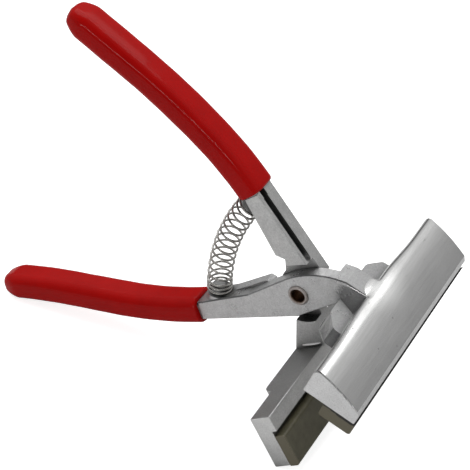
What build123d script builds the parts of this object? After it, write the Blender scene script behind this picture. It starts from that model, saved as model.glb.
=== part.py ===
from build123d import *
import math
import os

# Canvas pliers: two crossed cast levers on one hollow rivet, wide padded jaws in front,
# dipped grips behind, and a coil spring that holds the jaws open.
# Sizes are in millimetres. Y is the hinge axis. Each lever is drawn in its own jaw's frame,
# where X runs forward along the grip face and Z is up, as if that jaw were shut.
# The lower jaw's lever is then turned open, and the whole tool is tipped as it lies on a table.

# Jaws, measured from the hinge axis
jaw_width = 120.0
jaw_back = 26.4
jaw_depth = 25.2
jaw_opening = 38.0
grip_plane = 1.8

# Upper jaw casting
upper_pad_thickness = 7.0
upper_back_height = 14.7
upper_nose_height = 6.4
crown_rise = 1.2
crest_round = 2.5
nose_chamfer = 1.7
ledge_depth = 4.3
ledge_drop = 1.0
ledge_run = 32.0

# Lower jaw casting
lower_pad_thickness = 5.0
lower_bar_depth = 25.6
lower_bar_bottom = 12.9
lip_depth = 7.8
lip_drop = 2.5
heel_length = 78.0
heel_depth = 11.0
heel_height = 4.5
heel_round = 3.6

# Rubber pads
pad_setback = 10.3
pad_overhang = 0.8
pad_end_inset = 0.3
pad_round = 1.4
pad_lip_height = 0.9
pad_nose_clearance = 0.3

# Levers at the hinge
lever_thickness = 12.6
lap_clearance = 0.12
hub_radius = 11.2
upper_clear_radius = 16.5
neck_clear_radius = 17.2
lower_clear_radius = 14.4
far_neck_start = 9.7
edge_round = 0.5

# How far the necks run into the jaws
root_depth = 2.0

# Fan that spreads the upper lever's neck along its jaw
fan_start = 9.9
fan_height = 6.2
fan_top_width = 37.6
fan_foot_width = 49.6
fan_wide_top = 53.0
fan_wide_foot = 60.6
fan_corner = 5.5
fan_round = 3.0
ridge_foot = 28.0
ridge_length = 15.0
ridge_drop = 2.0

# Weight-saving channel in the upper handle's outer face
channel_width = 3.7
channel_depth = 4.5
channel_wall = 1.8
channel_reach = 40.0
channel_end = 15.5

# Handles and grips
grip_reach = 111.6
tang_height = 9.0
tang_thickness = 12.2
tang_round = 1.5
tang_root = 4.0
grip_wall = 2.1
grip_clearance = 0.1
grip_round = 4.0
grip_taper = 7.5
grip_tip_width = 9.0
grip_tip_height = 6.0
grip_tip_round = 2.0
grip_cap = 7.0
grip_cap_clearance = 0.4

# Hollow rivet
rivet_bore = 6.2
rivet_wall = 0.9
rivet_flange = 9.7
rivet_flange_height = 0.9
rivet_clearance = 0.05

# Return spring
wire_diameter = 1.0
spring_diameter = 11.9
spring_bow = 88.7
open_turns = 11
close_turns = 3
top_turns = 1
close_pitch = 2.2
seat_gap = 0.3
seat_relief = 0.3
seat_root = 4.5
boss_diameter = 11.4
peg_diameter = 7.4
peg_height = 4.6
peg_round = 1.6

# Points taken on each arc of the spring's wire, to measure the gap between its turns
points_on_arc = 6

# Search for the resting tilt, in degrees
steepest_tilt = 60.0
tilt_tolerance = 0.001

# One overrun serves all cuts
overrun = 20.0

# Sizes that follow from the ones above
half_width = jaw_width / 2
half_thickness = lever_thickness / 2
upper_seat = grip_plane + upper_pad_thickness
lower_seat = grip_plane - lower_pad_thickness
jaw_front = jaw_back + jaw_depth
pad_back = jaw_back + pad_setback
pad_front = jaw_front + pad_overhang
rivet_radius = rivet_bore / 2 + rivet_wall
grip_height = tang_height + 2 * (grip_clearance + grip_wall)
grip_thickness = tang_thickness + 2 * (grip_clearance + grip_wall)

# Outlines as shares of the distance from the hinge axis to the jaw's back wall
upper_cheek_top_shares = [(-1.44, -1.515), (-0.75, -0.667), (-0.322, 0.136)]
upper_cheek_arc_shares = [(0.057, 0.58), (0.568, 0.845)]
upper_cheek_bottom_shares = [(0.674, 0.443), (0.167, -0.428), (-1.22, -1.79)]
far_core_shares = [(-1.44, -1.515), (-1.02, -1.0), (-0.617, -0.36), (-0.52, -0.345), (0.167, -0.428),
                   (-1.22, -1.79)]
lower_neck_shares = [(0.3, 0.09), (0.95, 0.034), (1.05, -0.03), (1.05, -0.59), (0.99, -0.59), (0.3, -0.21)]
upper_handle_shares = [(-1.91, -0.093), (-0.8, -0.055), (-0.69, 0.083), (-0.56, 0.045), (-0.52, 0.445),
                       (-1.95, 0.212)]
far_handle_shares = [(-1.91, -0.093), (-0.8, -0.055), (-0.57, -0.1), (-0.367, -0.19), (0.0, -0.2),
                     (-0.178, 0.5), (-1.95, 0.212)]

# Mouths of the grips as shares of that distance, and the rest of each handle's centre line
# and its bend radii as shares of the reach from the mouth to the end of the grip
lower_mouth_shares = (-1.34, -1.68)
upper_mouth_shares = (-1.943, 0.0513)
lower_line_shares = [(-0.164, -0.155), (-0.64, -0.4405), (-0.824, -0.577)]
upper_line_shares = [(-0.1457, -0.0262), (-0.4636, -0.15), (-0.9085, -0.4067)]
lower_bend_shares = (1.78, 2.66)
upper_bend_shares = (1.34, 2.66)

# Ends of the spring's centre line as shares of the distance from the hinge axis to the jaw's back wall,
# the low one beside the shut upper jaw and the high one beside the shut lower jaw
spring_low_shares = (-1.242, -1.167)
spring_high_shares = (-1.7045, -0.1875)


def scaled(shares, size):
    return [(x * size, z * size) for x, z in shares]


def plate(face, low, high):
    """Carry an X-Z outline along Y from low to high."""
    return extrude(Pos(0, high, 0) * (Plane.XZ * face), amount=high - low)


def hinge_disc(radius, low, high):
    return plate(Circle(radius), low, high)


def polygon(points):
    return make_face(Polyline(*points, close=True))


def handle_line(mouth, shares):
    """Corner points of a handle's centre line, from the grip's mouth to its end."""
    x, z = mouth[0] * jaw_back, mouth[1] * jaw_back
    return [(x, z)] + [(x + run * grip_reach, z + rise * grip_reach) for run, rise in shares]


def lower_handle():
    return handle_line(lower_mouth_shares, lower_line_shares), lower_bend_shares


def upper_handle():
    return handle_line(upper_mouth_shares, upper_line_shares), upper_bend_shares


def stretched(start, towards, distance):
    """Move a point away from the next one along their line."""
    step = Vector(*start) - Vector(*towards)
    moved = Vector(*start) + step.normalized() * distance
    return (moved.X, moved.Y)


def handle_wire(line, bends, before, after):
    """Centre line of a handle, made longer at the mouth by before and at the end by after."""
    first = stretched(line[0], line[1], before)
    last = stretched(line[-1], line[-2], after)
    points = [(x, 0, z) for x, z in [first] + line[1:-1] + [last]]
    return FilletPolyline(*points, radius=[share * grip_reach for share in bends])


def handle_tube(line, bends, before, after, section):
    wire = handle_wire(line, bends, before, after)
    start = Plane(origin=wire @ 0, x_dir=(0, 1, 0), z_dir=wire % 0)
    return sweep(start * section, path=wire)


def make_tang(line, bends):
    section = RectangleRounded(tang_thickness, tang_height, tang_round)
    return handle_tube(line, bends, tang_root, -grip_cap - grip_cap_clearance, section)


def make_grip(line, bends):
    """Dipped sleeve over a handle, closed and tapered at its far end."""
    section = RectangleRounded(grip_thickness, grip_height, grip_round)
    skin = handle_tube(line, bends, 0, -grip_taper, section)
    end = Vector(line[-1][0], 0, line[-1][1])
    away = (end - Vector(line[-2][0], 0, line[-2][1])).normalized()
    shoulder = Plane(origin=end - away * grip_taper, x_dir=(0, 1, 0), z_dir=away)
    tip = Plane(origin=end, x_dir=(0, 1, 0), z_dir=away)
    tip_section = RectangleRounded(grip_tip_width, grip_tip_height, grip_tip_round)
    cap = loft([shoulder * section, tip * tip_section], ruled=True)
    rim = cap.faces().sort_by_distance(end)[0]
    skin += fillet(rim.edges(), grip_tip_round / 2)
    bore = RectangleRounded(tang_thickness + 2 * grip_clearance, tang_height + 2 * grip_clearance,
                            tang_round + grip_clearance)
    return skin - handle_tube(line, bends, overrun, -grip_cap, bore)


def spring_ends():
    """Both ends of the spring's centre line beside the shut upper jaw, with the lower lever open."""
    low = scaled([spring_low_shares], jaw_back)[0]
    high = scaled([spring_high_shares], jaw_back)[0]
    return low, opened(high, jaw_opening)


def opened(point, angle):
    """Turn a point about the hinge axis, as the lower jaw's lever opens."""
    turn = math.radians(angle)
    x, z = point
    return (x * math.cos(turn) + z * math.sin(turn), -x * math.sin(turn) + z * math.cos(turn))


def spring_arc(low, high):
    """Centre, start angle and turn of the arc that the spring's centre line follows."""
    chord = Vector(*high) - Vector(*low)
    half_angle = math.asin(chord.length / 2 / spring_bow)
    middle = Vector(*low) + chord * 0.5
    right = Vector(chord.Y, -chord.X).normalized()
    centre = middle + right * (spring_bow * math.cos(half_angle))
    start = math.atan2(low[1] - centre.Y, low[0] - centre.X)
    return centre, start, 2 * half_angle


def spring_seat(end, direction):
    """Plane under an end of the spring, square to its centre line, a wire radius and a gap away."""
    drop = wire_diameter / 2 + seat_gap
    origin = (end[0] - direction[0] * drop, 0, end[1] - direction[1] * drop)
    return Plane(origin=origin, x_dir=(0, 1, 0), z_dir=(direction[0], 0, direction[1]))


def seat_peg(seat):
    """Domed peg inside the end turns of the spring."""
    peg = Pos(0, 0, -seat_root) * extrude(Circle(peg_diameter / 2), amount=seat_root + peg_height)
    return seat * fillet(peg.edges().sort_by(Axis.Z)[-1], peg_round)


def seat_boss(seat):
    """Round boss under the end turn of the spring."""
    return seat * (Pos(0, 0, -seat_root) * extrude(Circle(boss_diameter / 2), amount=seat_root))


def seat_recess(seat):
    """Room for the end turn of the spring where the lever rises above the seat."""
    radius = spring_diameter / 2 + seat_relief
    return seat * extrude(Circle(radius), amount=overrun)


# Upper jaw lever: near cheek and lower handle, one casting with the upper jaw


def upper_cheek_face():
    top = scaled(upper_cheek_top_shares, jaw_back)
    arc = scaled(upper_cheek_arc_shares, jaw_back)
    bottom = scaled(upper_cheek_bottom_shares, jaw_back)
    inside = jaw_back + root_depth
    crest = upper_seat + upper_back_height
    edges = [
        Polyline(*top),
        ThreePointArc(top[-1], arc[0], arc[1]),
        Polyline(arc[1], (jaw_back, crest - ledge_drop), (inside, crest - ledge_drop),
                 (inside, upper_seat), (jaw_back, upper_seat), bottom[0]),
        Polyline(bottom[0], bottom[1], bottom[2], top[0]),
    ]
    return make_face(Curve() + edges)


def upper_jaw_block():
    """Wide jaw with a crowned outer face, a blunt nose and a tapering ledge at each end."""
    crest = upper_seat + upper_back_height
    nose = upper_seat + upper_nose_height
    chord = Vector(jaw_depth, nose - crest)
    middle = Vector(jaw_back, crest) + chord * 0.5
    outward = Vector(-chord.Y, chord.X).normalized()
    top = middle + outward * crown_rise
    profile = Curve() + [
        ThreePointArc((jaw_back, crest), (top.X, top.Y), (jaw_front, nose)),
        Polyline((jaw_front, nose), (jaw_front, upper_seat), (jaw_back, upper_seat), (jaw_back, crest)),
    ]
    block = plate(make_face(profile), -half_width, half_width)
    nose_edge = block.edges().filter_by(Axis.Y).sort_by_distance((jaw_front, 0, nose))[0]
    block = chamfer(nose_edge, nose_chamfer)
    crest_edge = block.edges().filter_by(Axis.Y).sort_by_distance((jaw_back, 0, crest))[0]
    block = fillet(crest_edge, crest_round)
    block = fillet(block.edges(), edge_round)
    slope = math.degrees(math.atan2(chord.Y, chord.X)) / 2
    for side in (-1, 1):
        corner = Vector(jaw_back, side * half_width, crest - ledge_drop)
        across = Vector(ledge_depth, 0, ledge_depth * math.tan(math.radians(slope)) + ledge_drop)
        along = Vector(0, -side * ledge_run, ledge_drop)
        up = across.cross(along).normalized()
        if up.Z < 0:
            up = -up
        facet = Plane(origin=corner, x_dir=along.normalized(), z_dir=up)
        block -= facet * Box(3 * ledge_run, 3 * ledge_depth, overrun,
                             align=(Align.CENTER, Align.CENTER, Align.MIN))
    return block


def upper_fan():
    """Shoulder behind the jaw, with a ridge whose sides flare from the neck out to the jaw."""
    start = jaw_back - fan_start
    inside = jaw_back + root_depth
    turn = start + fan_corner
    rings = []
    for level, narrow, wide in ((upper_seat, fan_foot_width, fan_wide_foot),
                                (upper_seat + fan_height, fan_top_width, fan_wide_top)):
        outline = [(start, -narrow / 2), (turn, -wide / 2), (inside, -wide / 2),
                   (inside, wide / 2), (turn, wide / 2), (start, narrow / 2)]
        rings.append(Pos(0, 0, level) * polygon(outline))
    shoulder = loft(rings, ruled=True)
    rising = [edge for edge in shoulder.edges() if edge.bounding_box().size.Z > fan_height / 2]
    shoulder = fillet([edge for edge in rising if edge.center().X < jaw_back], fan_round)
    crest = upper_seat + upper_back_height - ledge_drop
    foot = upper_seat + fan_height
    sections = []
    for place, top, width in ((jaw_back - ridge_length, crest - ridge_drop, lever_thickness),
                              (inside, crest, ridge_foot)):
        outline = [(-half_thickness, top), (half_thickness, top), (width / 2, foot), (-width / 2, foot)]
        sections.append(Plane(origin=(place, 0, 0), x_dir=(0, 1, 0), z_dir=(1, 0, 0)) * polygon(outline))
    return shoulder + loft(sections, ruled=True)


def eased_face(solid, side):
    """Break the outline of a plate's outer face, on the near side (-1) or the far side (1)."""
    outer = solid.faces().sort_by(Axis.Y)[0 if side < 0 else -1]
    return chamfer(outer.edges(), edge_round)


def make_upper_jaw_lever():
    cheek = upper_cheek_face()
    inner = -lap_clearance / 2
    near = eased_face(plate(cheek, -half_thickness, inner), -1)
    ahead = Pos(far_neck_start + overrun * 2, 0) * Rectangle(overrun * 4, overrun * 8)
    neck = plate(cheek, inner, half_thickness) & plate(ahead, -overrun, overrun)
    neck = eased_face(neck - hinge_disc(neck_clear_radius, -overrun, overrun), 1)
    core = plate(polygon(scaled(far_core_shares, jaw_back)), inner, half_thickness)
    core = eased_face(core - hinge_disc(upper_clear_radius, -overrun, overrun), 1)
    low, high = spring_ends()
    start = spring_arc(low, high)[1]
    seat = spring_seat(low, (math.sin(start), -math.cos(start)))
    lever = near + neck + core - seat_recess(seat)
    lever += upper_jaw_block() + upper_fan() + make_tang(*lower_handle())
    lever += seat_boss(seat) + seat_peg(seat)
    return lever - hinge_disc(rivet_radius + rivet_clearance, -overrun, overrun)


# Lower jaw lever: far cheek and upper handle, one casting with the lower jaw


def lower_jaw_bar():
    """Straight bar with a raised lip behind the pad and a rounded heel below."""
    back = jaw_back
    front = back + lower_bar_depth
    lip_top = grip_plane - lip_drop
    bottom = grip_plane - lower_bar_bottom
    outline = [(back, bottom), (back, lip_top), (back + lip_depth, lip_top), (back + lip_depth, lower_seat),
               (front, lower_seat), (front, bottom)]
    bar = plate(polygon(outline), -half_width, half_width)
    bar = fillet(bar.edges(), edge_round)
    heel_outline = [(back, bottom + heel_height), (back, bottom - heel_height),
                    (back + heel_depth, bottom - heel_height), (back + heel_depth, bottom + heel_height)]
    heel = plate(polygon(heel_outline), -heel_length / 2, heel_length / 2)
    under = heel.faces().sort_by(Axis.Z)[0]
    ends = under.edges().filter_by(Axis.X) + under.edges().filter_by(Axis.Y).sort_by(Axis.X)[-1:]
    return bar + fillet(ends, heel_round)


def handle_channel(outer):
    """Slot with a round end along the near side of the upper handle's outer face."""
    slot_centre = -half_thickness + channel_wall + channel_width / 2
    start, end = Vector(*outer[0]), Vector(*outer[1])
    run = (end - start).normalized()
    nose = start + run * ((-channel_end - start.X) / run.X)
    floor = Plane(origin=(nose.X, slot_centre, nose.Y), x_dir=(-run.X, 0, -run.Y), z_dir=(-run.Y, 0, run.X))
    sunk = Pos(0, 0, -channel_depth)
    straight = Box(channel_reach, channel_width, overrun, align=(Align.MIN, Align.CENTER, Align.MIN))
    tip = Cylinder(channel_width / 2, overrun, align=(Align.CENTER, Align.CENTER, Align.MIN))
    return floor * (sunk * (straight + tip))


def make_lower_jaw_lever():
    neck = polygon(scaled(lower_neck_shares, jaw_back))
    near_handle = polygon(scaled(upper_handle_shares, jaw_back))
    outline = scaled(far_handle_shares, jaw_back)
    inner = lap_clearance / 2
    near = eased_face(plate(near_handle, -half_thickness, inner), -1)
    root = plate(neck, -half_thickness, inner) - hinge_disc(lower_clear_radius, -overrun, overrun)
    near += eased_face(root, -1)
    far = plate(polygon(outline), inner, half_thickness) + plate(neck, inner, half_thickness)
    far = eased_face(far + hinge_disc(hub_radius, inner, half_thickness), 1)
    low, high = spring_ends()
    centre, start, turn = spring_arc(low, high)
    finish = start - turn + math.radians(jaw_opening)
    high = scaled([spring_high_shares], jaw_back)[0]
    seat = spring_seat(high, (-math.sin(finish), math.cos(finish)))
    lever = near + far + lower_jaw_bar() + make_tang(*upper_handle())
    lever -= handle_channel([outline[-1], outline[-2]])
    lever += seat_peg(seat)
    return lever - hinge_disc(rivet_radius + rivet_clearance, -overrun, overrun)


# Rubber pads bonded to the jaws


def make_upper_pad():
    """Thick pad with a short lip that stands in front of the jaw's nose."""
    lip_back = jaw_front + pad_nose_clearance
    outline = [(pad_back, grip_plane), (pad_front, grip_plane), (pad_front, upper_seat + pad_lip_height),
               (lip_back, upper_seat + pad_lip_height), (lip_back, upper_seat), (pad_back, upper_seat)]
    pad = plate(polygon(outline), -half_width + pad_end_inset, half_width - pad_end_inset)
    edges = pad.edges().filter_by(Axis.Y).sort_by(Axis.Z)[:2]
    return fillet(edges, pad_round)


def make_lower_pad():
    outline = [(pad_back, lower_seat), (pad_front, lower_seat), (pad_front, grip_plane), (pad_back, grip_plane)]
    pad = plate(polygon(outline), -half_width + pad_end_inset, half_width - pad_end_inset)
    edges = pad.edges().filter_by(Axis.Y).sort_by(Axis.Z)[-2:]
    return fillet(edges, pad_round)


# Hollow rivet with a flange on each side


def make_pivot_rivet():
    inner = rivet_bore / 2
    flange = rivet_flange / 2
    near = half_thickness + rivet_clearance
    top = near + rivet_flange_height
    rounding = rivet_flange_height / 2
    half = [(inner, 0), (inner, top - rounding), (inner + rounding, top), (flange - rounding, top),
            (flange, top - rounding), (flange, near), (rivet_radius, near), (rivet_radius, 0)]
    profile = polygon(half)
    upper = revolve(profile, axis=Axis.Y)
    return upper + mirror(upper, about=Plane.XZ)


# Return spring between the two pegs


def turn_heights(length):
    """Height along the centre line at each half turn: close turns, open turns, close turns."""
    open_length = length - close_pitch * (close_turns + top_turns)
    open_pitch = open_length / open_turns
    pitches = [close_pitch] * close_turns * 2 + [open_pitch] * open_turns * 2 + [close_pitch] * top_turns * 2
    heights = [0.0]
    for pitch in pitches:
        heights.append(heights[-1] + pitch / 2)
    return heights


def spring_nodes(low, high):
    """Places and directions of the wire at each half turn round the bent centre line."""
    centre, start, sweep_angle = spring_arc(low, high)
    mean = (spring_diameter - wire_diameter) / 2
    heights = turn_heights(spring_bow * sweep_angle)
    nodes = []
    for index, height in enumerate(heights):
        before = heights[max(index - 1, 0)]
        after = heights[min(index + 1, len(heights) - 1)]
        steps = min(index + 1, len(heights) - 1) - max(index - 1, 0)
        climb = (after - before) / steps / math.pi
        angle = start - height / spring_bow
        outward = Vector(math.cos(angle), 0, math.sin(angle))
        forward = Vector(math.sin(angle), 0, -math.cos(angle))
        turn = math.pi * index
        reach = mean * math.cos(turn)
        place = Vector(centre.X, 0, centre.Y) + outward * (spring_bow + reach)
        place += Vector(0, 1, 0) * mean * math.sin(turn)
        direction = forward * climb * (1 + reach / spring_bow)
        direction += outward * (-mean * math.sin(turn)) + Vector(0, 1, 0) * mean * math.cos(turn)
        nodes.append((place, direction.normalized()))
    return nodes


def biarc(start, start_direction, end, end_direction):
    """Two tangent arcs that join two places along given directions."""
    gap = end - start
    total = start_direction + end_direction
    spread = 2 * (1 - start_direction.dot(end_direction))
    lead = gap.dot(total)
    reach = (-lead + math.sqrt(lead * lead + spread * gap.dot(gap))) / spread
    joint = (start + start_direction * reach + end - end_direction * reach) * 0.5
    first = Edge.make_tangent_arc(start, start_direction, joint)
    second = Edge.make_tangent_arc(joint, first % 1, end)
    return [first, second]


def least_gap(edges):
    """Least space between two places on the wire that are half a turn or more apart."""
    samples = [edge @ (step / points_on_arc) for edge in edges for step in range(points_on_arc)]
    apart = len(samples) // (2 * (close_turns + open_turns + top_turns))
    least = spring_diameter
    for index, place in enumerate(samples):
        for other in samples[index + apart:]:
            least = min(least, (place - other).length - wire_diameter)
    return least


def make_return_spring(low, high):
    nodes = spring_nodes(low, high)
    edges = []
    for first, second in zip(nodes, nodes[1:]):
        edges += biarc(first[0], first[1], second[0], second[1])
    wire = Wire(edges)
    section = Plane(origin=nodes[0][0], z_dir=nodes[0][1]) * Circle(wire_diameter / 2)
    print("spring: least gap between turns", round(least_gap(edges), 2), "mm,",
          "length of wire", round(wire.length, 1), "mm")
    return sweep(section, path=wire)


def resting_tilt(front, rear):
    """Tip that brings the lower jaw and the lower grip down to one level."""
    low, high = 0.0, steepest_tilt
    while high - low > tilt_tolerance:
        tilt = (low + high) / 2
        turn = Rot(Y=tilt)
        if (turn * front).bounding_box().min.Z > (turn * rear).bounding_box().min.Z:
            low = tilt
        else:
            high = tilt
    return (low + high) / 2


def build():
    shut = {
        "upper_jaw_lever": make_upper_jaw_lever(),
        "upper_jaw_pad": make_upper_pad(),
        "lower_handle_grip": make_grip(*lower_handle()),
        "pivot_rivet": make_pivot_rivet(),
        "return_spring": make_return_spring(*spring_ends()),
    }
    turned = {
        "lower_jaw_lever": make_lower_jaw_lever(),
        "lower_jaw_pad": make_lower_pad(),
        "upper_handle_grip": make_grip(*upper_handle()),
    }
    nodes = dict(shut)
    for name, piece in turned.items():
        nodes[name] = Rot(Y=jaw_opening) * piece
    tilt = resting_tilt(nodes["lower_jaw_lever"], nodes["lower_handle_grip"])
    print("resting tilt", round(tilt, 3), "degrees")
    return {name: Rot(Y=tilt) * piece for name, piece in nodes.items()}


os.makedirs("parts", exist_ok=True)
for name, piece in build().items():
    export_step(piece, "parts/" + name + ".step")
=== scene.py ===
import math

import bpy
import numpy as np
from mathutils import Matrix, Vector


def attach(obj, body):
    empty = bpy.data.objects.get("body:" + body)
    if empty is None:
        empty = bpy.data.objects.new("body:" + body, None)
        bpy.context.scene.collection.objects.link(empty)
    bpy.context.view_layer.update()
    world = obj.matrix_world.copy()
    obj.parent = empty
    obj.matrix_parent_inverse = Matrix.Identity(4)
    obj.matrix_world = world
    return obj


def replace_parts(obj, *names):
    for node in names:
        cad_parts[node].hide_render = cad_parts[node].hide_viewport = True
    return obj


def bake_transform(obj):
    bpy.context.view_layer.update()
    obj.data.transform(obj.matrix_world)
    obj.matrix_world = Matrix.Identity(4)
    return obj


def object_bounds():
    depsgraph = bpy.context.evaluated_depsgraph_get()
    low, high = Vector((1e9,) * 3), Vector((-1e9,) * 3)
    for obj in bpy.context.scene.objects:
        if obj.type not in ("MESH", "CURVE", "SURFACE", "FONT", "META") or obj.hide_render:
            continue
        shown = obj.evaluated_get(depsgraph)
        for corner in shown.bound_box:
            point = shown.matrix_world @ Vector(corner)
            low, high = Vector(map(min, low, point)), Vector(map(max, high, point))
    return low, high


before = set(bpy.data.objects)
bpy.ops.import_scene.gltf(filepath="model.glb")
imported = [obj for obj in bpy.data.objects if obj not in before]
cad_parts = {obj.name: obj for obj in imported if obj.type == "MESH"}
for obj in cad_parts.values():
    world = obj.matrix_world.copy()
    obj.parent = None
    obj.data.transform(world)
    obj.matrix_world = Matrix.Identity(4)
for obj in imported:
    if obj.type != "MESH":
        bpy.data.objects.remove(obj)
solid_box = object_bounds()

# Studio. The pliers lie open on white paper, photographed from the front right and above with a long
# lens. A pale tent stands round them, darker towards the room in front and at a gap at the back left.
# A large soft lamp hangs overhead, and a long narrow strip lamp stands low down in front.

camera_place = (0.27794, -0.57492, 0.48305)
camera_turn = (54.5856, 1.8248, 27.1677)
lens_length = 139.03
sensor_width = 36.0
tent_foot_light = 0.24
tent_top_light = 0.8
room_direction = (0.05, -0.78, 0.62)
room_light = 0.16
gap_direction = (-0.68, 0.73, -0.02)
gap_light = 0.25
paper_reach = 3.0
paper_white = (0.72, 0.72, 0.72, 1)
paper_glow = 0.8

camera_data = bpy.data.cameras.new("camera")
camera_data.lens = lens_length
camera_data.sensor_width = sensor_width
camera_data.clip_start = 0.05
camera_data.clip_end = 20.0
camera = bpy.data.objects.new("camera", camera_data)
camera.location = camera_place
camera.rotation_euler = [math.radians(angle) for angle in camera_turn]
bpy.context.scene.collection.objects.link(camera)
bpy.context.scene.camera = camera
bpy.context.scene.view_settings.view_transform = "Standard"


def lamp(name, place, target, width, length, power):
    """A rectangular soft lamp, its sides in metres, that faces a target point."""
    data = bpy.data.lights.new(name, "AREA")
    data.shape = "RECTANGLE"
    data.size = width
    data.size_y = length
    data.energy = power
    item = bpy.data.objects.new(name, data)
    item.location = place
    offset = np.array(target) - np.array(place)
    level = math.hypot(offset[0], offset[1])
    item.rotation_euler = (math.atan2(level, -offset[2]), 0, math.atan2(-offset[0], offset[1]))
    bpy.context.scene.collection.objects.link(item)


lamp("overhead_lamp", place=(-0.15, 0.35, 1.1), target=(-0.03, 0, 0), width=1.35, length=0.95, power=8.8)
lamp("strip_lamp", place=(0.0, -1.0, 0.4), target=(-0.03, 0, 0.03), width=1.1, length=0.06, power=2.4)


def node(tree, kind, sockets=None, **settings):
    """Add a shader node, set its options, and set or link its sockets, each by name or number."""
    made = tree.nodes.new(kind)
    for key, value in settings.items():
        setattr(made, key, value)
    for key, value in (sockets or {}).items():
        if isinstance(value, bpy.types.NodeSocket):
            tree.links.new(value, made.inputs[key])
        else:
            made.inputs[key].default_value = value
    return made


def remap(tree, value, low, high, start, end, **settings):
    """A value between low and high becomes one between start and end, and is held at them outside."""
    sockets = {0: value, 1: low, 2: high, 3: start, 4: end}
    return node(tree, "ShaderNodeMapRange", sockets, **settings).outputs[0]


def toward(tree, vector, direction):
    """How far a vector reaches in a direction: their dot product."""
    sockets = {0: vector, 1: direction}
    return node(tree, "ShaderNodeVectorMath", sockets, operation="DOT_PRODUCT").outputs["Value"]


def multiply(tree, *factors):
    """The product of two or more numbers."""
    product = factors[0]
    for factor in factors[1:]:
        product = node(tree, "ShaderNodeMath", {0: product, 1: factor}, operation="MULTIPLY").outputs[0]
    return product


def blank(name):
    """A new material with an empty node tree."""
    material = bpy.data.materials.new(name)
    material.use_nodes = True
    material.node_tree.nodes.clear()
    return material, material.node_tree


world = bpy.data.worlds.new("tent")
world.use_nodes = True
bpy.context.scene.world = world
tree = world.node_tree
tree.nodes.clear()
to_camera = node(tree, "ShaderNodeLightPath").outputs["Is Camera Ray"]
around = node(tree, "ShaderNodeTexCoord").outputs["Generated"]
height = node(tree, "ShaderNodeSeparateXYZ", {0: around}).outputs["Z"]
wall = remap(tree, height, -0.1, 0.75, tent_foot_light, tent_top_light)
room = remap(tree, toward(tree, around, room_direction), 0.55, 0.92, 1.0, room_light)
gap = remap(tree, toward(tree, around, gap_direction), 0.86, 0.99, 1.0, gap_light)
tent = multiply(tree, wall, room, gap)
seen = node(tree, "ShaderNodeMix", {0: to_camera, 2: tent, 3: 1.0}, data_type="FLOAT")
glow = node(tree, "ShaderNodeBackground", {"Color": (1, 1, 1, 1), "Strength": seen.outputs[0]})
node(tree, "ShaderNodeOutputWorld", {"Surface": glow.outputs[0]})

paper, tree = blank("white_paper")
to_camera = node(tree, "ShaderNodeLightPath").outputs["Is Camera Ray"]
sheet = node(tree, "ShaderNodeBsdfDiffuse", {"Color": paper_white})
white = node(tree, "ShaderNodeEmission", {"Strength": multiply(tree, to_camera, paper_glow)})
both = node(tree, "ShaderNodeAddShader", {0: sheet.outputs[0], 1: white.outputs[0]})
node(tree, "ShaderNodeOutputMaterial", {"Surface": both.outputs[0]})

square = ((-1, -1), (1, -1), (1, 1), (-1, 1))
floor_corners = [(x * paper_reach, y * paper_reach, solid_box[0].z) for x, y in square]
floor_mesh = bpy.data.meshes.new("floor")
floor_mesh.from_pydata(floor_corners, [], [(0, 1, 2, 3)])
floor_mesh.materials.append(paper)
floor = bpy.data.objects.new("floor", floor_mesh)
bpy.context.scene.collection.objects.link(floor)

# Upper jaw and lower handle. One light-alloy casting, plated all over, which carries the wide upper
# jaw on a neck. Its flat sides are satin, with a fine cast skin. Painted shade darkens its corners and
# the faces that look some ways.

# Shapes are in millimetres, in a jaw's own frame, and distances that a material reads are in metres.
resting_tilt = math.radians(24.52)
jaw_end = solid_box[1].y
upper_grey = (0.61, 0.61, 0.61)
upper_satin = 0.3
cloud_scale = 140.0
skin_scale = 1500.0
skin_grain = 0.6
pit_scale = 260.0
pit_shade = 0.7
# Painted shade in corners: for each, the occlusion reach in metres, the least open air, and the share of
# colour kept there.
corner_painted_shade = ((0.005, 0.25, 0.45), (0.03, 0.3, 0.5))
ground_from = jaw_end - 0.00035
ground_full = jaw_end - 0.00015


def turned(points, angle):
    """Points in millimetres in a shut jaw's frame, turned about the hinge axis and given in metres."""
    x, y, z = points[..., 0], points[..., 1], points[..., 2]
    c, s = math.cos(angle), math.sin(angle)
    return np.stack([x * c + z * s, y, z * c - x * s], axis=-1) / 1000


def in_upper(points):
    """Points in millimetres in the upper jaw's own frame, given in metres in the tool's frame."""
    return turned(np.asarray(points, float), resting_tilt)


def upper_side(x, y, z):
    """A direction in the upper jaw's own frame, given in the tool's frame."""
    return tuple(in_upper((1000 * x, 1000 * y, 1000 * z)))


def noise(tree, where, scale, detail, roughness=0.5):
    """The value of a noise pattern at a place."""
    sockets = {"Vector": where, "Scale": scale, "Detail": detail, "Roughness": roughness}
    return node(tree, "ShaderNodeTexNoise", sockets).outputs[0]


def pits(tree, where, scale, reach, shade):
    """Small dark pits: the places nearest the middle of a cell of a Voronoi pattern get the shade."""
    cells = node(tree, "ShaderNodeTexVoronoi", {"Vector": where, "Scale": scale, "Randomness": 1.0})
    return remap(tree, cells.outputs["Distance"], 0.02, reach, shade, 1.0)


def scaled(tree, vector, factor):
    """A colour or vector times a number."""
    return node(tree, "ShaderNodeVectorMath", {0: vector, "Scale": factor}, operation="SCALE").outputs[0]


def bumped(tree, height, strength, distance):
    """The surface's normal, tipped by the slope of a height."""
    sockets = {"Strength": strength, "Distance": distance, "Height": height}
    return node(tree, "ShaderNodeBump", sockets).outputs[0]


def off_middle(tree, where):
    """Distance from the tool's middle plane, to either side."""
    across = node(tree, "ShaderNodeSeparateXYZ", {0: where}).outputs["Y"]
    return node(tree, "ShaderNodeMath", {0: across}, operation="ABSOLUTE").outputs[0]


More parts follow.
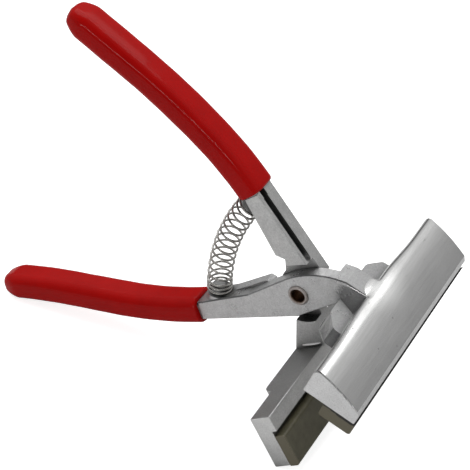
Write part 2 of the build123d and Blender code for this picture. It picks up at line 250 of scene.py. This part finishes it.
def shade_with(tree, sockets):
    """Give the material a Principled shader with these sockets."""
    shader = node(tree, "ShaderNodeBsdfPrincipled", sockets)
    node(tree, "ShaderNodeOutputMaterial", {"Surface": shader.outputs[0]})


def cast_metal(name, tint, satin, shaded_sides):
    """Plated casting. A fine noise gives the cast skin, a slow one clouds its tint and polish, and a
    few small pits are darker. Each of shaded_sides is a direction and a share: faces that look that
    way get painted shade, their colour darkened by the share. Painted shade also darkens corners that
    little light reaches, found by an occlusion node over a short reach and a long one. The two ends of
    the jaw are ground bright."""
    material, tree = blank(name)
    where = node(tree, "ShaderNodeTexCoord").outputs["Object"]
    clouds = noise(tree, where, cloud_scale, 5.0, 0.65)
    skin = noise(tree, where, skin_scale, 4.0, 0.7)
    cloud_shade = remap(tree, clouds, 0.3, 0.7, 0.88, 1.08)
    skin_shade = remap(tree, skin, 0.3, 0.7, 0.8, 1.12)
    shade = multiply(tree, cloud_shade, skin_shade, pits(tree, where, pit_scale, 0.09, pit_shade))
    flat = node(tree, "ShaderNodeNewGeometry").outputs["True Normal"]
    # Painted shade: faces that look along a shaded side get a darker colour.
    for side, share in shaded_sides:
        shade = multiply(tree, shade, remap(tree, toward(tree, flat, side), 0.8, 0.95, 1.0, share))
    # Painted shade: corners that little light reaches get a darker colour.
    for reach, least_air, share in corner_painted_shade:
        air = node(tree, "ShaderNodeAmbientOcclusion", {"Distance": reach}, samples=8).outputs["AO"]
        shade = multiply(tree, shade, remap(tree, air, least_air, 0.85, share, 1.0))
    ground = remap(tree, off_middle(tree, where), ground_from, ground_full, 1.0, 1.2)
    shade_with(tree, {"Base Color": scaled(tree, tint, multiply(tree, shade, ground)), "Metallic": 1.0,
                      "Roughness": remap(tree, clouds, 0.3, 0.7, satin - 0.05, satin + 0.07),
                      "Normal": bumped(tree, skin, skin_grain, 0.0004)})
    return material


def dress(name, material):
    """Give a node of the solid model its finish."""
    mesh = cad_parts[name].data
    mesh.materials.clear()
    mesh.materials.append(material)


# Painted shade: faces of the upper casting that look up, along either ridge or along the far flank keep
# only this share of their colour.
flat_top = (upper_side(0, 0, 1), 0.6)
near_ridge = (upper_side(-0.25, -0.77, 0.59), 0.28)
far_ridge = (upper_side(-0.25, 0.77, 0.59), 0.45)
far_flank = (upper_side(-0.69, 0.58, 0.45), 0.4)
upper_shaded_sides = [flat_top, near_ridge, far_ridge, far_flank]
dress("upper_jaw_lever", cast_metal("upper_plating", upper_grey, upper_satin, upper_shaded_sides))

# Jaw cover. The crowned outer face of the upper jaw is ground and buffed after casting. Its back edge
# rolls over softly, and over the neck it runs out in a low hump. Long reflections lie along it.

cover_inset = 0.45
cover_half_width = 1000 * jaw_end - cover_inset
cover_front = 50.1
cover_back = 26.4
crown_top = 23.5
crown_length = 25.2
crown_fall = 8.3
crown_camber = 5.05
skin_lift = 0.06
roll_radius = 2.4
roll_start_angle = -0.13
roll_end_angle = 1.75
roll_share = 0.7
roll_lap = 0.05
bulge = 1.3
bulge_half_width = 13
bulge_fade = 30
tuck_place = 28.0
tuck_height = 17.6
neck_end = 20.6
neck_top = 22.5
neck_middle = 1.5
neck_crown = 0.7
neck_crown_half_width = 7
neck_foot = 24.4
neck_sink = 1.5
hump_half_width = 5.2
hump_fade = 2.3
hump_place = (25.5, 4.0, 22.6)
# Painted highlight on the hump: its gain in colour, the reach in metres where it is full, and where it
# ends.
hump_highlight_gain = 1.42
hump_highlight_reach = 0.003
hump_highlight_end = 0.019
lean_from = 0.027
lean_to = 0.04
lean_back = 0.3
lean_forwards = 0.07
buffed_grey = (0.64, 0.64, 0.635)
buffed_gloss = 0.19


def skin_mesh(name, grid, material, body, wrap=False, ring=False, caps=False):
    """A smooth skin through a grid of points, given in rows. With wrap, the last column joins the
    first one, and with ring, the last row does. With caps, the first and last rows close on a point
    at their middle."""
    rows, columns = grid.shape[:2]
    index = np.arange(rows * columns).reshape(rows, columns)
    if wrap:
        index = np.concatenate([index, index[:, :1]], axis=1)
    if ring:
        index = np.concatenate([index, index[:1]], axis=0)
    quads = np.stack([index[:-1, :-1], index[:-1, 1:], index[1:, 1:], index[1:, :-1]], axis=-1)
    faces = quads.reshape(-1, 4).tolist()
    points = grid.reshape(-1, 3)
    if caps:
        tips = np.full((2, index.shape[1] - 1), [[len(points)], [len(points) + 1]])
        points = np.vstack([points, grid[0].mean(axis=0), grid[-1].mean(axis=0)])
        faces += np.stack([index[0, 1:], index[0, :-1], tips[0]], axis=-1).tolist()
        faces += np.stack([index[-1, :-1], index[-1, 1:], tips[1]], axis=-1).tolist()
    mesh = bpy.data.meshes.new(name)
    mesh.from_pydata(points.tolist(), [], faces)
    mesh.polygons.foreach_set("use_smooth", np.ones(len(mesh.polygons), dtype=bool))
    mesh.materials.append(material)
    mesh.update()
    item = bpy.data.objects.new(name, mesh)
    bpy.context.scene.collection.objects.link(item)
    if body:
        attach(item, body)
    return item


def smooth_step(value):
    """Zero below 0, one above 1, and the cubic 3v^2 - 2v^3 between."""
    value = np.clip(value, 0, 1)
    return value * value * (3 - 2 * value)


def crown_height(x):
    """Height of the crowned face at a distance from the hinge: a falling chord and a shallow parabola."""
    share = (x - cover_back) / crown_length
    return crown_top - crown_fall * share + crown_camber * share * (1 - share) + skin_lift


def cover_points(rows, columns):
    """Three runs for each place along the jaw: two over the crown and one behind it. That one is an
    arc rolled over the back edge, which bulges towards the neck by a smooth step, and then a straight
    tuck into the casting. Over the neck it gives way to a hump: the crown goes over, by a smooth
    step, into a parabola across the neck, and the end sinks by a cube."""
    y = np.linspace(-cover_half_width, cover_half_width, rows)[:, None]
    run = np.linspace(0, 3, columns)[None, :]
    over = bulge * (1 - smooth_step((np.abs(y) - bulge_half_width) / bulge_fade))
    start = cover_back - roll_lap + roll_radius * (1 - roll_start_angle) - over
    x_crown = cover_front + (start - cover_front) * np.clip(run / 2, 0, 1)
    crown = crown_height(x_crown)
    rolled = np.clip((run - 2) / roll_share, 0, 1)
    angle = roll_start_angle + (roll_end_angle - roll_start_angle) * rolled
    x_roll = x_crown - roll_radius * (np.sin(angle) - math.sin(roll_start_angle))
    z_roll = crown + roll_radius * (np.cos(angle) - math.cos(roll_start_angle))
    tuck = np.clip((run - 2 - roll_share) / (1 - roll_share), 0, 1)
    x_roll = x_roll + (tuck_place - x_roll) * tuck
    z_roll = z_roll + (tuck_height - z_roll) * tuck
    late = np.clip(run - 2, 0, 1)
    x_neck = x_crown + (neck_end - start) * late
    lift = smooth_step((x_neck - neck_foot) / (start - neck_foot))
    across_neck = neck_top + neck_crown * (1 - ((y - neck_middle) / neck_crown_half_width) ** 2)
    z_neck = np.where(run > 2, across_neck + (crown - across_neck) * lift - neck_sink * late ** 3, crown)
    onto = 1 - smooth_step((np.abs(y) - hump_half_width) / hump_fade)
    x = x_roll + (x_neck - x_roll) * onto
    z = z_roll + (z_neck - z_roll) * onto
    return np.stack([x, y + 0 * x, z], axis=-1)


def buffed_metal(name):
    """Buffed plating: nearly smooth, with faint clouds and streaks along the jaw and small dark pits.
    A painted highlight lightens the colour around a point on the hump over the neck. The wheel has
    rounded the back more than the solid shows, so the normal leans back there, and a little forwards
    at the front."""
    material, tree = blank(name)
    where = node(tree, "ShaderNodeTexCoord").outputs["Object"]
    lengthwise = node(tree, "ShaderNodeVectorMath", {0: where, 1: (1.0, 0.06, 1.0)}, operation="MULTIPLY")
    streaks = noise(tree, lengthwise.outputs[0], 700.0, 5.0)
    cloud_shade = remap(tree, noise(tree, where, 60.0, 3.0), 0.3, 0.7, 0.97, 1.03)
    streak_shade = remap(tree, streaks, 0.3, 0.7, 0.95, 1.045)
    hump = tuple(in_upper(hump_place))
    away = node(tree, "ShaderNodeVectorMath", {0: where, 1: hump}, operation="DISTANCE").outputs["Value"]
    # Painted highlight: the colour is lightened up to the gain near a point on the hump.
    painted_hump_highlight = remap(tree, away, hump_highlight_reach, hump_highlight_end, hump_highlight_gain, 1.0,
                  interpolation_type="SMOOTHSTEP")
    shade = multiply(tree, cloud_shade, streak_shade, painted_hump_highlight, pits(tree, where, 150.0, 0.07, 0.45))
    forwards = toward(tree, where, upper_side(1, 0, 0))
    lean = remap(tree, forwards, lean_from, lean_to, lean_back, -lean_forwards,
                 interpolation_type="SMOOTHSTEP")
    back = scaled(tree, upper_side(-1, 0, 0), lean)
    bump = bumped(tree, streaks, 0.05, 0.0003)
    leant = node(tree, "ShaderNodeVectorMath", {0: bump, 1: back}, operation="ADD")
    normal = node(tree, "ShaderNodeVectorMath", {0: leant.outputs[0]}, operation="NORMALIZE")
    shade_with(tree, {"Base Color": scaled(tree, buffed_grey, shade), "Metallic": 1.0,
                      "Roughness": buffed_gloss, "Normal": normal.outputs[0]})
    return material


buffed = buffed_metal("buffed_cover")
cover = in_upper(cover_points(rows=301, columns=121))[:, ::-1]
skin_mesh("jaw_cover", cover, buffed, "upper_lever")

# Mould lines of the upper casting. Thin fins of metal stand where the parts of its mould met, along
# the edge of the neck and beside the jaw, and the buffing wheel has brightened them.

neck_fin_path = [(8.4, -6.3, 18.3), (13.0, -6.3, 20.3), (17.0, -6.3, 21.5), (26.2, -6.3, 22.4)]
neck_fin_radius = 0.22
mould_line_path = [(16.4, -20.6, 12.2), (16.4, -22.5, 10.4), (16.6, -24.6, 8.6)]
mould_line_radius = 0.2


def bead_points(path, radius, rings, sides):
    """A thin round bead along a path in millimetres: rings that lie square to the path, and that
    narrow at both ends by the root of a half sine."""
    path = np.array(path, float)
    steps = np.r_[0, np.cumsum(np.linalg.norm(np.diff(path, axis=0), axis=1))]
    places = np.linspace(0, steps[-1], rings)
    line = np.stack([np.interp(places, steps, path[:, k]) for k in range(3)], axis=-1)
    along = np.gradient(line, axis=0)
    along /= np.linalg.norm(along, axis=1)[:, None]
    side = np.cross(along, (0.3, 0.9, 0.2))
    side /= np.linalg.norm(side, axis=1)[:, None]
    other = np.cross(along, side)
    turn = np.linspace(0, 2 * np.pi, sides, endpoint=False)[None, :, None]
    thick = radius * np.sqrt(np.sin(np.linspace(0.03, np.pi - 0.03, rings)))[:, None, None]
    return line[:, None] + thick * (np.cos(turn) * side[:, None] + np.sin(turn) * other[:, None])


for name, path, radius in (("neck_fin", neck_fin_path, neck_fin_radius),
                           ("mould_line", mould_line_path, mould_line_radius)):
    bead = in_upper(bead_points(path, radius, rings=40, sides=12))
    skin_mesh(name, bead, buffed, "upper_lever", wrap=True, caps=True)

# Lower jaw and upper handle. The second casting, plated the same way but satin all over, with painted
# shade darkening the back of its jaw. A rib of metal is left across the foot of its neck.

jaw_opening = math.radians(38.0)
lower_grey = (0.57, 0.57, 0.565)
lower_satin = 0.32
neck_rib_path = [(24.9, -6.3, -11.4), (25.2, -6.3, -6.0), (25.4, -6.3, -1.0)]
neck_rib_radius = 0.85


def in_lower(points):
    """Points in millimetres in the lower jaw's own frame, given in metres with the jaw open."""
    return turned(np.asarray(points, float), resting_tilt + jaw_opening)


# Painted shade: faces that look back from the lower jaw keep half their colour.
jaw_back_shade = (tuple(in_lower((-1000, 0, 0))), 0.5)
dress("lower_jaw_lever", cast_metal("lower_plating", lower_grey, lower_satin, [jaw_back_shade]))
rib = in_lower(bead_points(neck_rib_path, neck_rib_radius, rings=40, sides=12))
skin_mesh("neck_rib", rib, buffed, "lower_lever", wrap=True, caps=True)

# Jaw pads. Olive rubber strips, moulded and glued to the jaws, with a dull mottled skin. They are
# paler where they were cut, and a dark line of painted shadow runs along the top of the upper one.

rubber_dark = (0.062, 0.057, 0.034, 1)
rubber_light = (0.1, 0.092, 0.055, 1)
rubber_cut = (0.125, 0.112, 0.074, 1)
# Painted shadow along the top of the upper pad: its near-black colour, then in metres its height above the
# hinge and the least and most reach of its wavy edge below it.
gap_shadow_black = (0.012, 0.011, 0.009, 1)
shadow_seam_height = 0.0088
shadow_least_reach = 0.0004
shadow_most_reach = 0.0018
cut_from = jaw_end - 0.0012
cut_full = jaw_end - 0.0004


def mixed(tree, share, first, second):
    """A colour that goes from first to second as share goes from 0 to 1."""
    return node(tree, "ShaderNodeMix", {0: share, 6: first, 7: second}, data_type="RGBA").outputs[2]


def pad_rubber(name, seam_height=None):
    """Dull olive rubber with a mottled skin and fine moulding grain. The cut ends are paler. Where a
    seam's height above the hinge is given, square to the upper jaw's flat, a painted shadow, near black,
    covers the rubber above a wavy edge that a noise draws a little below it."""
    material, tree = blank(name)
    where = node(tree, "ShaderNodeTexCoord").outputs["Object"]
    mottle = remap(tree, noise(tree, where, 220.0, 6.0, 0.7), 0.3, 0.75, 0.0, 1.0)
    olive = mixed(tree, mottle, rubber_dark, rubber_light)
    cut = remap(tree, off_middle(tree, where), cut_from, cut_full, 0.0, 1.0)
    olive = mixed(tree, cut, olive, rubber_cut)
    if seam_height:
        # Painted shadow: the gap where the pad meets the jaw is painted near black.
        level = toward(tree, where, upper_side(0, 0, 1))
        wave = remap(tree, noise(tree, where, 190.0, 3.0), 0.35, 0.65, -shadow_most_reach, -shadow_least_reach)
        above = node(tree, "ShaderNodeMath", {0: level, 1: wave}, operation="SUBTRACT").outputs[0]
        painted_shadow = remap(tree, above, seam_height, seam_height + 0.0001, 0.0, 1.0)
        olive = mixed(tree, painted_shadow, olive, gap_shadow_black)
    shade_with(tree, {"Base Color": olive, "Roughness": 0.5, "Specular IOR Level": 0.4,
                      "Normal": bumped(tree, noise(tree, where, 3000.0, 2.0), 0.2, 0.0002)})
    return material


dress("upper_jaw_pad", pad_rubber("upper_rubber", shadow_seam_height))
dress("lower_jaw_pad", pad_rubber("lower_rubber"))

# Grips. Each handle is dipped in red vinyl that sets as a thick glossy sleeve. It follows the flat
# sides of the casting, so it has four soft corners, and it tapers at the closed end.

grip_width = 16.6
grip_height = 13.4
grip_corner = 5.2
tip_length = 9.5
tip_slimming = 0.45
tip_rounding = 2.6
lip_length = 0.9
lip_rounding = 0.055
sleeve_mouth = 0.76
ring_spacing = 0.7
lower_grip_mouth = (-35.376, -44.352)
lower_grip_reach = 111.6
lower_grip_corners = [(-0.164, -0.155), (-0.64, -0.4405), (-0.824, -0.577)]
lower_grip_bends = (1.78, 2.66)
upper_grip_mouth = (-51.295, 1.354)
upper_grip_reach = 111.0
upper_grip_corners = [(-0.1457, -0.0262), (-0.4636, -0.15), (-0.9085, -0.4067)]
upper_grip_bends = (1.34, 2.66)
vinyl_red = (0.37, 0.0025, 0.002)


def bent_line(corners, radii, spacing):
    """Points along straight lines joined by arcs, in the handle's own plane, with their distances
    from the start. Each arc has its radius and touches the two lines that meet at its corner."""
    parts = [np.array(corners[0], float)[None]]
    for before, corner, after, radius in zip(corners, corners[1:], corners[2:], radii):
        before, corner, after = (np.array(p, float) for p in (before, corner, after))
        inward = (corner - before) / np.linalg.norm(corner - before)
        onward = (after - corner) / np.linalg.norm(after - corner)
        turn = math.acos(np.clip(inward @ onward, -1, 1))
        reach = radius * math.tan(turn / 2)
        side = np.array([-inward[1], inward[0]])
        side = side if side @ onward > 0 else -side
        centre = corner - inward * reach + side * radius
        angle = np.linspace(0, turn, 40)[:, None]
        parts.append(centre + radius * (np.sin(angle) * inward - np.cos(angle) * side))
    parts.append(np.array(corners[-1], float)[None])
    line = np.vstack(parts)
    steps = np.r_[0, np.cumsum(np.linalg.norm(np.diff(line, axis=0), axis=1))]
    places = np.linspace(0, steps[-1], int(steps[-1] / spacing))
    return np.stack([np.interp(places, steps, line[:, k]) for k in (0, 1)], axis=-1), places


def rounded_section(width, height, corner, count):
    """Outline of a rounded rectangle, its points spread evenly in angle about each corner."""
    angle = np.linspace(0, 2 * np.pi, count, endpoint=False) + np.pi / count
    c, s = np.cos(angle), np.sin(angle)
    return np.stack([np.sign(c) * (width / 2 - corner) + corner * c,
                     np.sign(s) * (height / 2 - corner) + corner * s], axis=-1)


def grip_points(mouth, reach, corners, bends):
    """Sleeve swept along the handle, whose corners and bends are shares of the reach. Its section
    slims towards the tip by a power of the distance and closes by the root of one minus a square.
    At the mouth the lip rounds inwards and turns back into the sleeve. Two slow sines make it wavy."""
    route = [mouth] + [(mouth[0] + a * reach, mouth[1] + b * reach) for a, b in corners]
    line, places = bent_line(route, [share * reach for share in bends], ring_spacing)
    along = np.gradient(line, axis=0)
    along /= np.linalg.norm(along, axis=1)[:, None]
    left = places[-1] - places
    slim = 1 - tip_slimming * np.clip(1 - left / tip_length, 0, 1) ** 1.6
    closing = np.sqrt(np.clip(1 - np.clip(1 - left / tip_rounding, 0, 1) ** 2, 0.02, 1))
    lip = 1 - lip_rounding * np.clip(1 - places / lip_length, 0, 1) ** 2
    wave = 1 + 0.004 * np.sin(places / 6.1) + 0.003 * np.sin(places / 2.3 + 1)
    size = (slim * closing * lip * wave)[:, None]
    section = rounded_section(grip_width, grip_height, grip_corner, 96)
    across = section[None, :, 0] * size
    above = section[None, :, 1] * size
    x = line[:, 0, None] - along[:, 1, None] * above
    z = line[:, 1, None] + along[:, 0, None] * above
    skin = np.stack([x, across, z], axis=-1)
    middle = np.array([line[0, 0], 0, line[0, 1]])
    inner = middle + (skin[:1] - middle) * sleeve_mouth
    return np.concatenate([inner, skin], axis=0)


def grip_vinyl(name):
    """Glossy deep red vinyl with faint ripples from dipping and a thin worn haze."""
    material, tree = blank(name)
    where = node(tree, "ShaderNodeTexCoord").outputs["Object"]
    haze = noise(tree, where, 60.0, 6.0, 0.7)
    ripple = noise(tree, where, 110.0, 3.0)
    shade = remap(tree, haze, 0.3, 0.7, 0.9, 1.1)
    shade_with(tree, {"Base Color": scaled(tree, vinyl_red, shade),
                      "Roughness": remap(tree, haze, 0.3, 0.7, 0.16, 0.28),
                      "Specular IOR Level": 0.03, "Coat Weight": 0.14, "Coat Roughness": 0.09,
                      "Normal": bumped(tree, ripple, 0.12, 0.0006)})
    return material


vinyl = grip_vinyl("red_vinyl")
lower_grip = in_upper(grip_points(lower_grip_mouth, lower_grip_reach, lower_grip_corners, lower_grip_bends))
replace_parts(skin_mesh("lower_grip", lower_grip, vinyl, "upper_lever", wrap=True, caps=True),
            "lower_handle_grip")
upper_grip = in_lower(grip_points(upper_grip_mouth, upper_grip_reach, upper_grip_corners, upper_grip_bends))
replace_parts(skin_mesh("upper_grip", upper_grip, vinyl, "lower_lever", wrap=True, caps=True),
            "upper_handle_grip")

# Rivet. A short steel tube through both levers, its ends rolled over into rounded flanges. The
# plating is dull outside, and the bore is brown and unplated.

bore_radius = 3.1
rolled_radius = 3.98
rolled_half_width = 0.87
rolled_rise = 0.89
rolled_face = 6.36
shank_end = 6.3
brown_reach = 0.0031
plated_reach = 0.0039
bore_brown = (0.16, 0.095, 0.055, 1)
rivet_grey = (0.42, 0.38, 0.36, 1)


def rivet_points(rows, columns):
    """A closed profile turned about the hinge axis: half an ellipse rolled over each lever, and the
    bore and the shank between them. Two sines make the rolled edge a little uneven."""
    turn = np.linspace(0, 2 * np.pi, rows, endpoint=False)[:, None]
    lip = np.linspace(0, np.pi, columns // 2)
    near = np.stack([rolled_radius - rolled_half_width * np.cos(lip),
                     -rolled_face - rolled_rise * np.sin(lip)], axis=-1)
    far = np.stack([rolled_radius + rolled_half_width * np.cos(lip),
                    rolled_face + rolled_rise * np.sin(lip)], axis=-1)
    shank = np.array([[rolled_radius, -shank_end], [rolled_radius, shank_end]])
    profile = np.vstack([near, shank, far])
    wobble = 1 + 0.008 * np.sin(3 * turn) + 0.006 * np.sin(7 * turn + 1)
    out = bore_radius + (profile[None, :, 0] - bore_radius) * wobble
    return np.stack([out * np.cos(turn), profile[None, :, 1] + 0 * turn, out * np.sin(turn)], axis=-1)


def rivet_steel(name):
    """Dull plating outside. Nearer to the axis than the flange's middle the metal turns brown."""
    material, tree = blank(name)
    where = node(tree, "ShaderNodeTexCoord").outputs["Object"]
    flat = node(tree, "ShaderNodeVectorMath", {0: where, 1: (1, 0, 1)}, operation="MULTIPLY")
    out = node(tree, "ShaderNodeVectorMath", {0: flat.outputs[0]}, operation="LENGTH")
    plated = remap(tree, out.outputs["Value"], brown_reach, plated_reach, 0.0, 1.0)
    grime = noise(tree, where, 900.0, 5.0, 0.7)
    tint = mixed(tree, plated, bore_brown, rivet_grey)
    shade_with(tree, {"Base Color": scaled(tree, tint, remap(tree, grime, 0.3, 0.7, 0.7, 1.15)),
                      "Metallic": 1.0, "Roughness": 0.34, "Normal": bumped(tree, grime, 0.35, 0.0002)})
    return material


rivet = in_upper(rivet_points(rows=96, columns=40))
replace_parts(skin_mesh("rolled_rivet", rivet, rivet_steel("rivet_plating"), "upper_lever",
                      wrap=True, ring=True), "pivot_rivet")

# Return spring. An open coil of drawn steel wire, bowed between a peg on each lever. Three turns at
# its lower end and one at its upper end lie close together.

spring_low = np.array([-32.789, -30.809])
spring_high = np.array([-38.508, 23.803])
spring_bow_radius = 88.7
coil_radius = 5.45
wire_radius = 0.52
close_pitch = 2.2
open_pitch = 4.28
first_open_turn = 3.0
last_open_turn = 14.0
opening_speed = 5
wire_grey = (0.4, 0.39, 0.37)


def spring_wire_points(turns, per_turn, sides):
    """Round wire along a helix whose axis is an arc. Its pitch opens and closes again by two logistic
    curves, and the heights are the running sum of the pitch, scaled to the arc's length."""
    chord = spring_high - spring_low
    span = np.linalg.norm(chord)
    half = math.asin(span / 2 / spring_bow_radius)
    right = np.array([chord[1], -chord[0]]) / span
    centre = (spring_low + spring_high) / 2 + right * spring_bow_radius * math.cos(half)
    first = math.atan2(spring_low[1] - centre[1], spring_low[0] - centre[0])
    turn = np.linspace(0, turns, turns * per_turn + 1)
    opening = 1 / (1 + np.exp(-(turn - first_open_turn) * opening_speed))
    closing = 1 / (1 + np.exp((turn - last_open_turn) * opening_speed))
    pitch = close_pitch + (open_pitch - close_pitch) * opening * closing
    height = np.r_[0, np.cumsum((pitch[1:] + pitch[:-1]) / 2 * np.diff(turn))]
    height *= spring_bow_radius * 2 * half / height[-1]
    angle = first - height / spring_bow_radius
    outward = np.stack([np.cos(angle), 0 * angle, np.sin(angle)], axis=-1)
    sideways = np.array([0.0, 1.0, 0.0])
    round_turn = 2 * np.pi * turn
    coil = np.cos(round_turn)[:, None] * outward + np.sin(round_turn)[:, None] * sideways
    path = np.array([centre[0], 0, centre[1]]) + outward * spring_bow_radius + coil * coil_radius
    along = np.gradient(path, axis=0)
    along /= np.linalg.norm(along, axis=1)[:, None]
    side = np.cross(along, coil)
    side /= np.linalg.norm(side, axis=1)[:, None]
    other = np.cross(side, along)
    around = np.linspace(0, 2 * np.pi, sides, endpoint=False)
    ring = np.cos(around)[None, :, None] * other[:, None] + np.sin(around)[None, :, None] * side[:, None]
    return path[:, None] + wire_radius * ring


def wire_steel(name):
    """Drawn steel wire: bright, with dark smears of oil and tarnish."""
    material, tree = blank(name)
    where = node(tree, "ShaderNodeTexCoord").outputs["Object"]
    smear = noise(tree, where, 420.0, 5.0, 0.7)
    shade = remap(tree, smear, 0.3, 0.7, 0.6, 1.15)
    shade_with(tree, {"Base Color": scaled(tree, wire_grey, shade), "Metallic": 1.0, "Roughness": 0.26,
                      "Normal": bumped(tree, smear, 0.15, 0.0001)})
    return material


wire = in_upper(spring_wire_points(turns=15, per_turn=40, sides=12))
spring = skin_mesh("coil_spring", wire, wire_steel("spring_wire"), None, wrap=True, caps=True)
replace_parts(spring, "return_spring")
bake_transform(spring)
